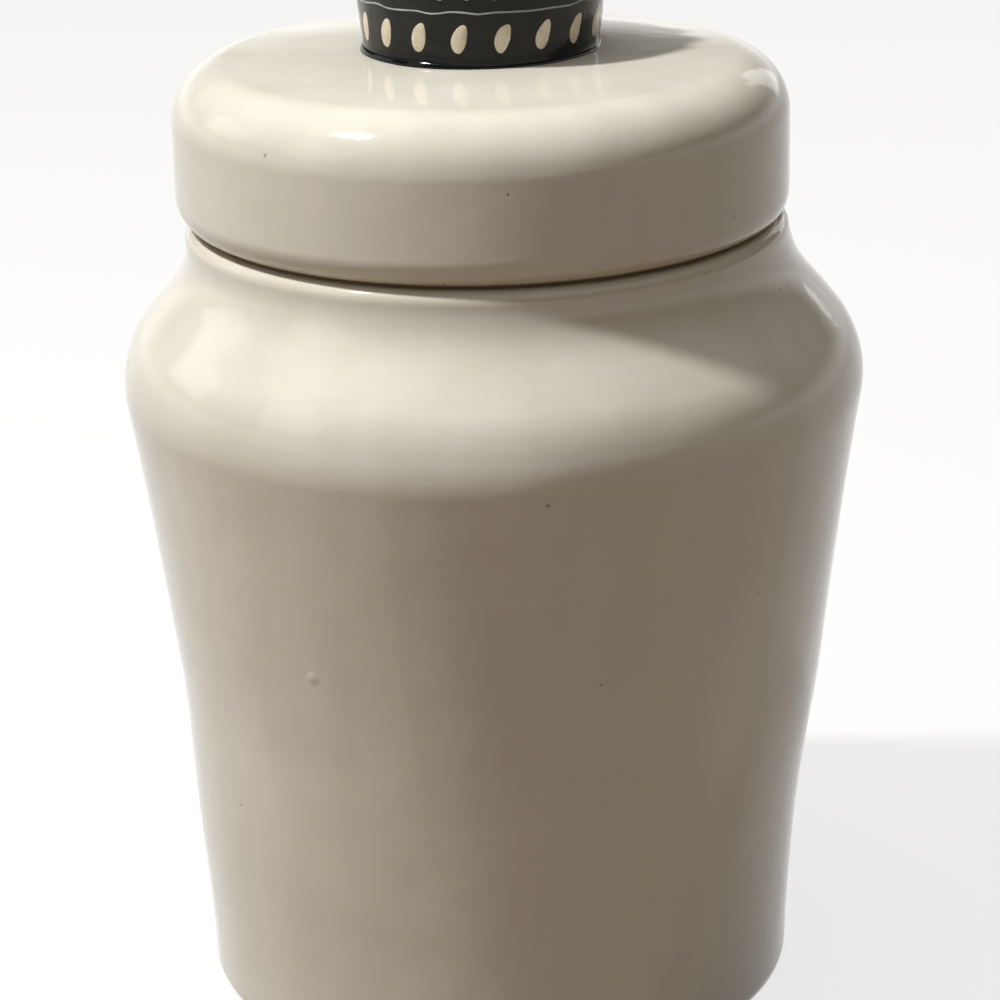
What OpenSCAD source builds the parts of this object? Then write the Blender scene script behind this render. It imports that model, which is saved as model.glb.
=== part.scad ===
// Treat canister: a glazed stoneware jar with a hollow lid, a ribbed seal ring and a crown-shaped knob.
// The jar stands on its foot ring with the origin at the centre of its base, and +Z is its axis.

/* [Jar] */
// Height of the jar from the table to its rim
jar_height = 196; // [170:1:240]
// Diameter of the shoulder, the widest place
shoulder_d = 180; // [172:1:200]
// Distance of the widest place below the rim
shoulder_drop = 39; // [34:1:60]
// Rounding of the shoulder
shoulder_round = 24; // [16:0.5:28]
// Angle through which the shoulder turns in towards the neck, in degrees
shoulder_turn = 38; // [30:1:44]
// Length over which the shoulder runs on towards the neck
shoulder_reach = 10; // [6:0.5:12]
// Diameter of the neck below the lid
neck_d = 145.6; // [138:0.2:152]
// Height over which the neck stays upright
neck_reach = 9; // [4:0.5:12]
// Lean of the wall below the shoulder, in degrees
wall_lean = 9; // [5:0.5:12]
// Length over which the wall keeps that lean
wall_reach = 50; // [30:1:70]
// Diameter of the foot
foot_d = 147.6; // [130:0.2:160]
// Lean of the wall just above the foot, in degrees
foot_lean = 1; // [0:0.5:4]
// Length over which the wall keeps that lean
foot_reach = 28; // [15:1:50]
// Rounding of the outer edge of the foot
foot_round = 4; // [2:0.5:8]
// Thickness of the jar wall
jar_wall = 6.5; // [4:0.5:9]
// Thickness of the wall at the rim
neck_wall = 7; // [6:0.5:9]
// Thickness of the floor
floor_thick = 7; // [5:0.5:12]
// Rounding inside, between wall and floor
floor_round = 10; // [4:0.5:16]
// Width of the foot ring
foot_ring = 7; // [5:0.5:12]
// Depth of the hollow inside the foot ring
foot_recess = 3; // [1.5:0.5:6]
// Rounding of the outer edge of the rim
rim_round = 3; // [1.5:0.25:4]
// Rounding of the inner edge of the rim
mouth_round = 1.5; // [0.5:0.25:2]
// Height of the straight land inside the mouth
mouth_land = 10; // [8:0.5:14]

/* [Lid] */
// Height of the lid from the rim to the seat of the knob
lid_height = 40.7; // [34:0.1:56]
// How far the lid stands out past the neck
lid_overhang = 0.9; // [0:0.1:6]
// Rounding of the upper edge of the lid
lid_top_round = 14; // [9:0.5:18]
// Radius of the lid's gently domed top
lid_dome = 730; // [500:10:2000]
// Width of the rounding under the lid
under_round_w = 4.7; // [2:0.1:6]
// Height of the rounding under the lid
under_round_h = 9; // [4:0.5:14]
// Thickness of the lid wall
lid_wall = 6; // [4:0.5:8]
// Gap between the mouth and the spigot that hangs into it
spigot_gap = 3.2; // [2:0.1:5]
// Wall of the spigot
spigot_wall = 5.5; // [4:0.5:8]
// Depth of the spigot below the rim
spigot_depth = 16; // [13:0.5:24]
// Bore of the vent hole under the hollow knob
vent_d = 4; // [2:0.5:8]

/* [Seal ring] */
// Height of the seal ring
seal_h = 6; // [4:0.5:7]
// Distance of the seal's groove below the rim
seal_drop = 3; // [2:0.5:5]
// Depth of the groove in the spigot
groove_depth = 2; // [1:0.25:3]
// Running clearance of the ring in its groove
seal_clear = 0.08; // [0.02:0.01:0.1]
// How far the ring's band stands out of its groove
seal_band = 0.6; // [0.3:0.1:1.2]
// Clearance between the ribs of the ring and the mouth
rib_clear = 0.3; // [0.2:0.05:0.8]
// Thickness of a rib at its root
rib_root = 1.6; // [1:0.1:2]
// Rounding of the edge of a rib
rib_round = 0.4; // [0.2:0.05:0.5]

/* [Knob] */
// Diameter of the knob at its foot
knob_foot_d = 56; // [44:0.2:64]
// Largest diameter of the knob
knob_belly_d = 61; // [54:0.5:74]
// Height of the largest diameter above the lid
knob_belly_z = 22; // [18:0.5:28]
// Height of the knob
knob_height = 46; // [42:0.5:60]
// Diameter of the circle of the tips
tip_d = 45; // [38:0.5:58]
// Lean of the tips towards the axis, in degrees
tip_lean = 22; // [10:1:45]
// Number of points on the crown
point_count = 12; // [8:1:14]
// Depth of the gaps between the points
point_height = 15; // [10:0.5:18]
// Thickness of the points
point_thick = 4; // [3:0.25:5]
// Rounding of the tips
tip_round = 2.6; // [1.5:0.1:3]
// Rounding at the bottom of the gaps
gap_round = 1.6; // [0.8:0.1:2]
// Thickness of the knob wall
knob_wall = 5; // [3.5:0.5:7]
// Depth of the knob's closed top below the gaps
cap_drop = 3; // [2:0.5:6]
// Rise of the closed top at its middle
cap_rise = 1.5; // [0.5:0.5:1.5]
// Width of the bead round the knob's foot
bead_w = 1.4; // [0.5:0.1:3]
// Height of the bead round the knob's foot
bead_h = 2.2; // [1:0.1:4]

/* [Hidden] */
$fn = 144;

cream = "#DDD6C7";
charcoal = "#2C2C2E";
silicone = "#C8C8C2";

// Steps in a long curve and in a small rounding
curve_steps = 22;
round_steps = 8;
// Overlap of cutting shapes past the faces that they cut
past = 1;

// Jar
shoulder_r = shoulder_d / 2;
shoulder_z = jar_height - shoulder_drop;
neck_r = neck_d / 2;
mouth_r = neck_r - neck_wall;
foot_r = foot_d / 2;
floor_z = foot_recess + floor_thick;
shoulder_centre = [shoulder_r - shoulder_round, shoulder_z];
// Bevel inside the foot ring
foot_bevel = 2;

// Lid, measured from the rim
lid_r = neck_r + lid_overhang;
knob_foot_r = knob_foot_d / 2;
// Flat seat of the knob, with a narrow margin round its bead
seat_margin = 0.6;
seat_r = knob_foot_r + bead_w + seat_margin;
dome_z = lid_height - sqrt(lid_dome * lid_dome - seat_r * seat_r);
corner_r = lid_r - lid_top_round;
corner_z = dome_z + sqrt(pow(lid_dome - lid_top_round, 2) - corner_r * corner_r);
corner_angle = atan2(corner_z - dome_z, corner_r);
seat_angle = atan2(lid_height - dome_z, seat_r);
spigot_r = mouth_r - spigot_gap;
spigot_in_r = spigot_r - spigot_wall;
// Rounding of the spigot's lower edges, limited by its wall
spigot_edge = 2;
spigot_round = min(spigot_edge, spigot_wall / 3);
groove_r = spigot_r - groove_depth;
groove_top = -seal_drop;
groove_low = groove_top - seal_h - 2 * seal_clear;
// Rounding inside the lid's hollow, next to its seat
pocket_round = 3;

// Seal ring, measured from the rim
seal_in_r = groove_r + seal_clear;
seal_band_r = spigot_r + seal_band;
seal_top = groove_top - seal_clear;
// The ribs grow out of the middle of the band
rib_root_r = (seal_in_r + seal_band_r) / 2;
rib_tip_r = mouth_r - rib_clear;
rib_count = 2;

// Knob, measured from its seat on the lid
belly_r = knob_belly_d / 2;
tip_r = tip_d / 2;
tip_end_z = knob_height - point_thick / 2 * (1 - sin(tip_lean));
// Lengths of the curve handles at the knob's foot, belly and tips
foot_handle = [0.6, 12];
belly_handle = 6;
tip_handle = 6.5;
// Angle over which the bead curves up to the knob's wall, in degrees
bead_sweep = 75;
// Length over which the closed top runs level from its wall
cap_level = 6;
gap_z = knob_height - point_height;
cap_z = gap_z - cap_drop;
point_pitch = 2 * tip_r * tan(180 / point_count);

function tail(list) = [for (i = [1:len(list) - 1]) list[i]];
function back(list) = [for (i = [len(list) - 1:-1:0]) list[i]];
function oval_arc(centre, w, h, from, to, steps) =
    [for (i = [0:steps]) let (a = from + (to - from) * i / steps) centre + [w * cos(a), h * sin(a)]];
function arc(centre, r, from, to, steps) = oval_arc(centre, r, r, from, to, steps);
function curve(a, b, c, d) =
    [for (i = [0:curve_steps]) let (t = i / curve_steps, s = 1 - t)
        s * s * s * a + 3 * s * s * t * b + 3 * s * t * t * c + t * t * t * d];
// Points of a line moved sideways by d, to the left of the way it runs
function beside(line, d) =
    [for (i = [0:len(line) - 1])
        let (way = line[min(i + 1, len(line) - 1)] - line[max(i - 1, 0)])
        line[i] + d * [-way.y, way.x] / norm(way)];
// Point where a line from p touches a circle, on the circle's upper side
function touch(p, centre, r) =
    let (to_p = p - centre, a = atan2(to_p.y, to_p.x) + acos(r / norm(to_p)))
    centre + r * [cos(a), sin(a)];

// Side of the jar from foot to neck, at the given depth in from its outer face
function jar_side(foot, neck, depth) =
    let (
        shoulder = arc(shoulder_centre, shoulder_round - depth, -wall_lean, shoulder_turn, curve_steps),
        low = shoulder[0],
        high = shoulder[curve_steps],
        wall_way = [sin(wall_lean), cos(wall_lean)],
        foot_way = [sin(foot_lean), cos(foot_lean)],
        turn_way = [-sin(shoulder_turn), cos(shoulder_turn)])
    concat(
        curve(foot, foot + foot_reach * foot_way, low - wall_reach * wall_way, low),
        tail(shoulder),
        tail(curve(high, high + shoulder_reach * turn_way, neck - [0, neck_reach], neck)));

module jar_profile() {
    outside = concat(
        arc([foot_r - foot_round, foot_round], foot_round, -90, 0, round_steps),
        tail(jar_side([foot_r, foot_round], [neck_r, jar_height - rim_round], 0)),
        tail(arc([neck_r - rim_round, jar_height - rim_round], rim_round, 0, 90, round_steps)));
    in_foot_r = foot_r - jar_wall;
    wall_foot_z = floor_z + floor_round;
    inside = concat(
        arc([mouth_r + mouth_round, jar_height - mouth_round], mouth_round, 90, 180, round_steps),
        back(jar_side([in_foot_r, wall_foot_z], [mouth_r, jar_height - mouth_land], jar_wall)),
        tail(arc([in_foot_r - floor_round, wall_foot_z], floor_round, 0, -90, round_steps)));
    ring_in_r = foot_r - foot_round - foot_ring;
    underside = [[0, floor_z], [0, foot_recess], [ring_in_r - foot_bevel, foot_recess], [ring_in_r, 0]];
    polygon(concat(outside, inside, underside));
}

module lid_profile() {
    wall_r = lid_r - lid_wall;
    top = concat(
        arc([0, dome_z], lid_dome, seat_angle, corner_angle, round_steps),
        tail(arc([corner_r, corner_z], lid_top_round, corner_angle, 0, curve_steps)),
        oval_arc([lid_r - under_round_w, under_round_h], under_round_w, under_round_h, 0, -90, round_steps));
    spigot_outside = [
        [spigot_r, 0],
        [spigot_r, groove_top],
        [groove_r, groove_top],
        [groove_r, groove_low],
        [spigot_r, groove_low]];
    spigot_end = concat(
        arc([spigot_r - spigot_round, spigot_round - spigot_depth], spigot_round, 0, -90, round_steps),
        arc([spigot_in_r + spigot_round, spigot_round - spigot_depth], spigot_round, -90, -180, round_steps));
    hollow = concat(
        arc([spigot_in_r + pocket_round, lid_wall - pocket_round], pocket_round, 180, 90, round_steps),
        arc([wall_r - pocket_round, lid_wall + pocket_round], pocket_round, -90, 0, round_steps),
        arc([corner_r, corner_z], lid_top_round - lid_wall, 0, corner_angle, curve_steps),
        [[vent_d / 2, dome_z + lid_dome - lid_wall]]);
    polygon(concat([[vent_d / 2, lid_height]], top, spigot_outside, spigot_end, hollow));
}

module seal_profile() {
    translate([seal_in_r, seal_top - seal_h])
        square([seal_band_r - seal_in_r, seal_h]);
    for (i = [0:rib_count - 1]) {
        rib_z = seal_top - seal_h * (i + 0.5) / rib_count;
        edge_r = rib_tip_r - rib_round;
        polygon([
            [rib_root_r, rib_z - rib_root / 2],
            [seal_band_r, rib_z - rib_root / 2],
            [edge_r, rib_z - rib_round],
            [edge_r, rib_z + rib_round],
            [seal_band_r, rib_z + rib_root / 2],
            [rib_root_r, rib_z + rib_root / 2]]);
        translate([edge_r, rib_z])
            circle(rib_round);
    }
}

module knob_profile() {
    tip = [tip_r, tip_end_z];
    lower = curve([knob_foot_r, 0], [knob_foot_r, 0] + foot_handle,
        [belly_r, knob_belly_z - belly_handle], [belly_r, knob_belly_z]);
    upper = curve([belly_r, knob_belly_z], [belly_r, knob_belly_z + belly_handle],
        tip + tip_handle * [sin(tip_lean), -cos(tip_lean)], tip);
    bead = oval_arc([knob_foot_r, 0], bead_w, bead_h, 0, bead_sweep, round_steps);
    bead_top = bead[round_steps].y;
    outside = concat(bead, [for (p = lower) if (p.y > bead_top) p], tail(upper));
    tip_arc = arc(tip - point_thick / 2 * [cos(tip_lean), sin(tip_lean)], point_thick / 2,
        tip_lean, tip_lean + 180, round_steps);
    well = [for (p = back(beside(upper, point_thick))) if (p.y > cap_z + cap_rise) p];
    well_r = well[len(well) - 1].x;
    cap = curve([well_r, cap_z + cap_rise], [well_r, cap_z],
        [well_r - cap_level, cap_z], [0, cap_z + cap_rise]);
    hollow_z = cap_z - knob_wall;
    hollow = [for (p = beside(lower, knob_wall)) if (p.y > 0 && p.y < hollow_z) p];
    hollow_top = hollow[len(hollow) - 1];
    polygon(concat(outside, tail(tip_arc), tail(well), cap,
        [[0, hollow_z], [hollow_top.x - knob_wall, hollow_z]],
        back(hollow), [[knob_foot_r - knob_wall, 0]]));
}

// Gap between two points of the crown, seen from outside: y is up
module gap_outline() {
    side_z = gap_z + gap_round;
    half_foot = point_pitch / 2 - gap_round;
    crown = [0, knob_height - tip_round];
    right = touch([half_foot, side_z], crown, tip_round);
    translate([0, side_z])
        circle(gap_round);
    difference() {
        translate([-point_pitch / 2, side_z])
            square([point_pitch, knob_height + past - side_z]);
        for (side = [-1, 1])
            translate([side * point_pitch / 2, 0]) {
                translate(crown)
                    circle(tip_round);
                polygon([
                    [-half_foot, side_z - past],
                    [half_foot, side_z - past],
                    [half_foot, side_z],
                    right,
                    [-right.x, right.y],
                    [-half_foot, side_z]]);
            }
    }
}

module jar_body() {
    color(cream)
        rotate_extrude()
            jar_profile();
}

module lid() {
    color(cream)
        translate([0, 0, jar_height])
            rotate_extrude()
                lid_profile();
}

module lid_seal() {
    color(silicone)
        translate([0, 0, jar_height])
            rotate_extrude()
                seal_profile();
}

module crown_knob() {
    // The gaps are cut outwards from inside the well, halfway to the tips
    gap_from_r = tip_r / 2;
    gap_length = belly_r + past - gap_from_r;
    color(charcoal)
        translate([0, 0, jar_height + lid_height])
            difference() {
                rotate_extrude()
                    knob_profile();
                for (i = [0:point_count - 1])
                    rotate((i + 0.5) * 360 / point_count)
                        translate([gap_from_r, 0, 0])
                            rotate([90, 0, 90])
                                linear_extrude(gap_length)
                                    gap_outline();
            }
}

jar_body();
lid();
lid_seal();
crown_knob();
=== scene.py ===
# %% [markdown]
# A treat canister in glazed ceramic: a round-shouldered jar, a thick lid that lifts off, a soft seal ring
# in the mouth and a black, crown-shaped knob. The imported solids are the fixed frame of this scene. The
# pieces made here lie where those solids are, in metres, and add what a solid can't show: glaze, bare clay,
# specks, brush marks and the unevenness of hand work, which moves a face by about two millimetres at most.

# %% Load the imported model
import math

import bmesh
import bpy
import numpy as np
from mathutils import Matrix, Vector


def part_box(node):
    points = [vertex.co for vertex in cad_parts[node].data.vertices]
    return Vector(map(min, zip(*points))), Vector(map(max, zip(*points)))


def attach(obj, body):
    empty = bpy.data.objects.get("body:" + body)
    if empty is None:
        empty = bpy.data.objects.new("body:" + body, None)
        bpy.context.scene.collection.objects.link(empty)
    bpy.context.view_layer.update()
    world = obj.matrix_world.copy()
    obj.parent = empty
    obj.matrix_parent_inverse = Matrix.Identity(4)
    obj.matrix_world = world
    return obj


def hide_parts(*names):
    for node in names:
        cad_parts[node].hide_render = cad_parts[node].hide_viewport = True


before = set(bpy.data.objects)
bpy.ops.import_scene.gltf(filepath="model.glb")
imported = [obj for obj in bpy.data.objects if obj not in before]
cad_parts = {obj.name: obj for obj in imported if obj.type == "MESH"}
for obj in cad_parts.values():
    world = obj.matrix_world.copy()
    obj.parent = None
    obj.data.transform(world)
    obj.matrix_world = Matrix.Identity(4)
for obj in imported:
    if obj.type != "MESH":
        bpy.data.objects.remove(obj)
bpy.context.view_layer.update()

scene = bpy.context.scene
MM = 0.001

# %% [markdown]
# The camera comes first, because every later choice is judged through it. It looks down on the lid by about
# 20 degrees and is turned a little about its own axis, as a hand-held camera is. Its three axes are worked
# out from those angles and put straight into its matrix, so nothing depends on a helper's choice of "up".

# %% Camera
CAMERA_PLACE = Vector((0, -0.760, 0.391))
CAMERA_LENS = 116.5
CAMERA_PITCH = math.radians(19.49)
CAMERA_PAN = math.radians(0.137)
CAMERA_ROLL = math.radians(1.36)


def camera_axes(pan, pitch, roll):
    """The camera's right, up and back directions."""
    level_right = Vector((math.cos(pan), -math.sin(pan), 0))
    ahead = Vector((math.sin(pan) * math.cos(pitch), math.cos(pan) * math.cos(pitch), -math.sin(pitch)))
    level_up = level_right.cross(ahead)
    right = math.cos(roll) * level_right - math.sin(roll) * level_up
    return right, right.cross(ahead), -ahead


def new_object(name, data):
    """A new object in the scene, at the origin."""
    thing = bpy.data.objects.new(name, data)
    scene.collection.objects.link(thing)
    return thing


camera = new_object("camera", bpy.data.cameras.new("camera"))
camera.data.lens = CAMERA_LENS
camera.data.sensor_width = 36
turn = Matrix(camera_axes(CAMERA_PAN, CAMERA_PITCH, CAMERA_ROLL)).transposed()
camera.matrix_world = Matrix.Translation(CAMERA_PLACE) @ turn.to_4x4()
scene.camera = camera
print("camera at", tuple(round(x, 3) for x in CAMERA_PLACE))

# %% [markdown]
# Node trees build both the shapes and the finishes below. Small helpers keep that readable: put adds a node
# and fills its inputs with values or links, and the others are nodes that are needed again and again.

# %% Helpers for node trees
def put(where, kind, fill=None, **settings):
    """Adds a node to a tree, given as itself or by a socket in it, and fills its inputs."""
    tree = where.id_data
    node = tree.nodes.new(kind)
    for name, value in settings.items():
        setattr(node, name, value)
    for key, value in (fill or {}).items():
        if isinstance(value, bpy.types.NodeSocket):
            tree.links.new(value, node.inputs[key])
        else:
            node.inputs[key].default_value = value
    return node


def new_tree(name, kind, inputs, outputs):
    """A node group with its named sockets: the tree, its inputs by name, and its outputs by name."""
    tree = bpy.data.node_groups.new(name, kind + "NodeTree")
    for in_out, sockets in (("INPUT", inputs), ("OUTPUT", outputs)):
        for socket, socket_kind in sockets.items():
            tree.interface.new_socket(socket, in_out=in_out, socket_type="NodeSocket" + socket_kind)
    return tree, tree.nodes.new("NodeGroupInput").outputs, tree.nodes.new("NodeGroupOutput").inputs


def join(kind, values, **settings):
    """The outputs of a node that is put into the tree of its first socket value."""
    where = next(value for value in values if isinstance(value, bpy.types.NodeSocket))
    return put(where, kind, dict(enumerate(values)), **settings).outputs


def calc(operation, *values):
    """The result of one Math node."""
    return join("ShaderNodeMath", values, operation=operation)[0]


def times(first, second):
    return calc("MULTIPLY", first, second)


def vec(operation, *values):
    """The result of one Vector Math node: a number for a distance or a dot product, else a vector."""
    outputs = join("ShaderNodeVectorMath", values, operation=operation)
    return outputs["Value" if operation in ("DISTANCE", "DOT_PRODUCT") else "Vector"]


def xyz(x=0.0, y=0.0, z=0.0):
    return join("ShaderNodeCombineXYZ", (x, y, z))[0]


def split(vector):
    return join("ShaderNodeSeparateXYZ", (vector,))


def link(value, socket):
    value.id_data.links.new(value, socket)


print("node helpers ready")

# %% Helpers for masks and colours
def ramp(x, low, high, first=0.0, last=1.0, kind="SMOOTHSTEP"):
    """Goes from first to last while x goes from low to high, and no further."""
    return join("ShaderNodeMapRange", (x, low, high, first, last), interpolation_type=kind)[0]


def between(x, low, high):
    """Lies between low and high as x lies between 0 and 1."""
    return calc("MULTIPLY_ADD", x, high - low, low)


def per(size):
    """How many of that size go into a metre."""
    return calc("DIVIDE", 1, size)


def clouds(place, scale, detail, seed=None):
    """The outputs of a noise, soft patches in three dimensions, or in four with a seed."""
    fill = {"Vector": place, "Scale": scale, "Detail": detail}
    if seed is None:
        return put(place, "ShaderNodeTexNoise", fill).outputs
    return put(place, "ShaderNodeTexNoise", {**fill, "W": seed}, noise_dimensions="4D").outputs


def blend(factor, below, above):
    """One colour laid over another by a mask."""
    colours = {6: below, 7: above}
    fill = {key: (*c, 1.0) if isinstance(c, tuple) else c for key, c in colours.items()}
    return put(factor, "ShaderNodeMix", {"Factor": factor, **fill}, data_type="RGBA").outputs[2]


print("mask and colour helpers ready")

# %% [markdown]
# ** Effects that several finishes share.** Glaze is glass melted on clay, and never quite even: its colour
# drifts where it lay thicker, its face has a shallow ripple, iron in the clay burns through as dark specks,
# and it keeps faint streaks, level ones from the brush and upright ones where it ran. On the cream glaze
# the upright streaks are also painted reflection bands. Each effect is one shader group, so every finish
# can use it with its own values. All of them read Object coordinates, which are the same metres as the
# solids.

# %% Shader group: drifting colour
def object_place(tree):
    return put(tree, "ShaderNodeTexCoord").outputs["Object"]


def make_drift():
    tree, given, result = new_tree("colour drift", "Shader",
        {"Pale": "Color", "Deep": "Color", "Size": "Float"}, {"Color": "Color", "Amount": "Float"})
    patches = clouds(object_place(tree), per(given["Size"]), detail=3.0)[0]
    amount = ramp(patches, low=0.35, high=0.65, kind="LINEAR")
    link(blend(amount, given["Pale"], given["Deep"]), result["Color"])
    link(amount, result["Amount"])
    return tree


DRIFT = make_drift()
print("made group:", DRIFT.name)

# %% Shader group: specks
SPECK_CORE = 0.55


def make_specks():
    tree, given, result = new_tree("glaze specks", "Shader",
        {"Spacing": "Float", "Size": "Float", "Share": "Float"}, {"Mask": "Float"})
    cells = put(tree, "ShaderNodeTexVoronoi",
        {"Vector": object_place(tree), "Scale": per(given["Spacing"])}).outputs
    chance = put(tree, "ShaderNodeSeparateColor", {0: cells["Color"]}).outputs
    distance = times(cells["Distance"], given["Spacing"])
    radius = times(given["Size"], between(chance[1], low=0.4, high=1))
    dot = ramp(distance, times(radius, SPECK_CORE), radius, first=1.0, last=0.0)
    kept = calc("LESS_THAN", chance[0], given["Share"])
    strength = times(kept, between(chance[2], low=0.3, high=1))
    link(times(dot, strength), result["Mask"])
    return tree


SPECKS = make_specks()
print("made group:", SPECKS.name)

# %% Shader group: ripple of a melted face
PIT_SHARE = 0.12


def make_ripple():
    tree, given, result = new_tree("glaze ripple", "Shader",
        {"Wave": "Float", "Pit": "Float"}, {"Height": "Float"})
    place = object_place(tree)
    wave = clouds(place, per(given["Wave"]), detail=1.0)[0]
    pit = clouds(place, per(given["Pit"]), detail=1.0)[0]
    link(calc("MULTIPLY_ADD", pit, PIT_SHARE, wave), result["Height"])
    return tree


RIPPLE = make_ripple()
print("made group:", RIPPLE.name)

# %% Shader group: streaks, level or upright
def make_streaks():
    tree, given, result = new_tree("streaks", "Shader",
        {"Level": "Float", "Upright": "Float"}, {"Mask": "Float"})
    level = per(given["Level"])
    place = vec("MULTIPLY", object_place(tree), xyz(level, level, per(given["Upright"])))
    patches = clouds(place, 1.0, detail=4.0)[0]
    link(ramp(patches, low=0.4, high=0.62, kind="LINEAR"), result["Mask"])
    return tree


STREAKS = make_streaks()
print("made group:", STREAKS.name)

# %% [markdown]
# ** Finishes.** Each finish is one material with its Principled shader, which takes its colour, roughness
# and bump from the groups. Three numbers stored on the meshes steer the glazes: "thin" is high along sharp
# edges, where melted glaze draws back, "bare" is 1 where the potter wiped the glaze off so that the piece
# doesn't stick to the kiln shelf or to its lid, and the third is high in a band round the knob's foot,
# where black glaze gathered and where it paints shade into the crease against the lid.

# %% Material helpers
BARE_CLAY = (0.60, 0.50, 0.38)
BARE_ROUGHNESS = 0.6


def new_material(name):
    """A material with a Principled shader: its tree and the shader's inputs."""
    material = bpy.data.materials.new(name)
    material.use_nodes = True
    return material, material.node_tree, material.node_tree.nodes["Principled BSDF"].inputs


def use(tree, group, **fill):
    """A shader group, placed in a material with its own values."""
    node = put(tree, "ShaderNodeGroup", node_tree=group)
    for name, value in fill.items():
        if isinstance(value, tuple):
            value = (*value, 1.0)
        node.inputs[name].default_value = value
    return node.outputs


def layer(below, mask, strength, tint):
    """A tint laid over a colour where the mask says, at that strength."""
    return blend(times(mask, strength), below, tint)


def painted(where, name):
    """A number that is stored on the mesh."""
    return put(where, "ShaderNodeAttribute", attribute_name=name).outputs["Fac"]


def feed(shader, colour, roughness):
    link(colour, shader["Base Color"])
    link(roughness, shader["Roughness"])


def feed_glaze(shader, colour, roughness):
    """The same, with rough, bare clay where the glaze was wiped off."""
    bare = painted(colour, "bare")
    roughness = calc("MULTIPLY_ADD", bare, BARE_ROUGHNESS, roughness)
    feed(shader, blend(bare, colour, BARE_CLAY), roughness)


def bump(shader, height, strength, distance):
    node = put(height, "ShaderNodeBump", {"Strength": strength, "Distance": distance, "Height": height})
    link(node.outputs[0], shader["Normal"])


print("material helpers ready")

# %% [markdown]
# ** Cream glaze.** Jar and lid wear a glossy, warm white glaze. One flat colour would look like plastic, so
# it drifts between two creams, with faint brush lines round the pot, dark specks in small pits, and olive
# upright streaks that are partly runs down it and partly painted reflection bands. One pip low on the
# front is a grain of grit under the glaze.

# %% Cream glaze
PIP_PLACE = (-0.0424, -0.0705, 0.1046)
PIP_R = 0.0021
PIP_RISE = 0.55
SPECK_RISE = -0.3


def make_cream_glaze():
    material, tree, shader = new_material("cream_glaze")
    drift = use(tree, DRIFT, Pale=(0.77, 0.742, 0.665), Deep=(0.71, 0.675, 0.592), Size=0.06)
    specks = use(tree, SPECKS, Spacing=0.011, Size=0.0006, Share=0.6)["Mask"]
    brush = use(tree, STREAKS, Level=0.09, Upright=0.0035)["Mask"]
    runs_and_painted_reflection = use(tree, STREAKS, Level=0.016, Upright=0.2)["Mask"]
    ripple = use(tree, RIPPLE, Wave=0.022, Pit=0.0025)["Height"]
    colour = layer(drift["Color"], brush, strength=0.06, tint=(0.62, 0.55, 0.45))
    # Olive upright streaks: partly glaze runs, partly painted reflection bands.
    colour = layer(colour, runs_and_painted_reflection, strength=0.3, tint=(0.61, 0.585, 0.475))
    colour = layer(colour, painted(tree, "thin"), strength=0.15, tint=(0.58, 0.49, 0.37))
    colour = layer(colour, specks, strength=0.8, tint=(0.06, 0.045, 0.035))
    feed_glaze(shader, colour, between(drift["Amount"], low=0.07, high=0.12))
    shader["IOR"].default_value = 1.45
    pip = ramp(vec("DISTANCE", object_place(tree), PIP_PLACE), 0.0, PIP_R, first=1.0, last=0.0)
    height = calc("MULTIPLY_ADD", specks, SPECK_RISE, ripple)
    height = calc("MULTIPLY_ADD", pip, PIP_RISE, height)
    bump(shader, height, strength=0.5, distance=0.0006)
    return material


CREAM_GLAZE = make_cream_glaze()
print("made material:", CREAM_GLAZE.name)

# %% [markdown]
# ** Black glaze.** The knob's glaze is nearly black, brushed on in bands, browner along the edges of the
# points and deepest in a band round the foot, where it pooled and where painted shade darkens the crease
# against the lid. A low index of refraction keeps it dark where it mirrors the room.

# %% Black glaze
BRUSH_RISE = 0.06


def make_black_glaze():
    material, tree, shader = new_material("black_glaze")
    drift = use(tree, DRIFT, Pale=(0.017, 0.0175, 0.017), Deep=(0.010, 0.0105, 0.010), Size=0.02)
    brush = use(tree, STREAKS, Level=0.018, Upright=0.0016)["Mask"]
    ripple = use(tree, RIPPLE, Wave=0.007, Pit=0.0016)["Height"]
    colour = layer(drift["Color"], brush, strength=0.35, tint=(0.005, 0.005, 0.0055))
    # Near-black band round the foot: pooled glaze, and painted shade in the crease against the lid.
    colour = layer(colour, painted(tree, "pool_and_shade"), strength=0.9, tint=(0.003, 0.0032, 0.0035))
    colour = layer(colour, painted(tree, "thin"), strength=0.45, tint=(0.07, 0.055, 0.042))
    feed_glaze(shader, colour, between(brush, low=0.06, high=0.10))
    shader["IOR"].default_value = 1.33
    height = calc("MULTIPLY_ADD", brush, BRUSH_RISE, ripple)
    bump(shader, height, strength=0.5, distance=0.0004)
    return material


BLACK_GLAZE = make_black_glaze()
print("made material:", BLACK_GLAZE.name)

# %% [markdown]
# **Painted slips.** Slip is coloured clay that a brush lays on under the clear glaze. It stays patchy and
# grainy, so it takes the same groups at a much smaller size.

# %% Painted slips
def make_slip(name, pale, deep, grime):
    material, tree, shader = new_material(name)
    drift = use(tree, DRIFT, Pale=pale, Deep=deep, Size=0.0035)
    specks = use(tree, SPECKS, Spacing=0.0022, Size=0.00035, Share=0.5)["Mask"]
    ripple = use(tree, RIPPLE, Wave=0.003, Pit=0.0008)["Height"]
    colour = layer(drift["Color"], specks, strength=0.5, tint=grime)
    feed(shader, colour, between(drift["Amount"], low=0.1, high=0.2))
    shader["IOR"].default_value = 1.42
    bump(shader, ripple, strength=0.5, distance=0.0002)
    return material


CREAM_SLIP = make_slip("cream_slip", (0.80, 0.72, 0.57), (0.67, 0.57, 0.42), (0.32, 0.24, 0.15))
PALE_SLIP = make_slip("pale_slip", (0.46, 0.48, 0.48), (0.33, 0.34, 0.35), (0.10, 0.10, 0.10))
print("made materials:", CREAM_SLIP.name, PALE_SLIP.name)

# %% [markdown]
# **Seal silicone.** Soft silicone is matt, gathers dust and lets a little light in, which is work for
# subsurface scattering.

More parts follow.
